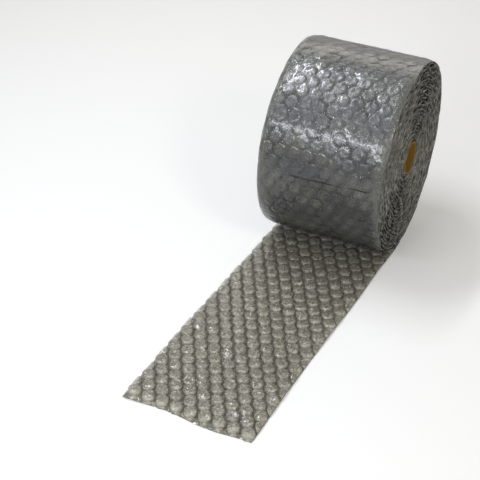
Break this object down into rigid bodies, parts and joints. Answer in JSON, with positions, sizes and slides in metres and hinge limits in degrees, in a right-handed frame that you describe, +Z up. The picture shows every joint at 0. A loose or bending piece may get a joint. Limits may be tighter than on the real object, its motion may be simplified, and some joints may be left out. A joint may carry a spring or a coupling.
{
  "type": "bubble wrap roll",
  "caption": "Narrow roll of large-bubble cushioning film wound on a cardboard core, its loose end drawn off along the floor with the bubbles up.",
  "frame": {"origin": "middle of the core's bore, on the roll's axis", "axes": "+X along the roll's axis, the loose end runs towards -Y, +Z up"},
  "size_m": [0.3489, 1.0873, 0.4849],
  "materials": {
    "kraft_board": "matt kraft paper board, wound in a spiral",
    "bubble_film": "clear soft film, glossy, grey where many layers lie together"
  },
  "bodies": {
    "root": {"cardboard_core": "kraft_board", "bubble_web": "bubble_film"}
  },
  "joints": []
}
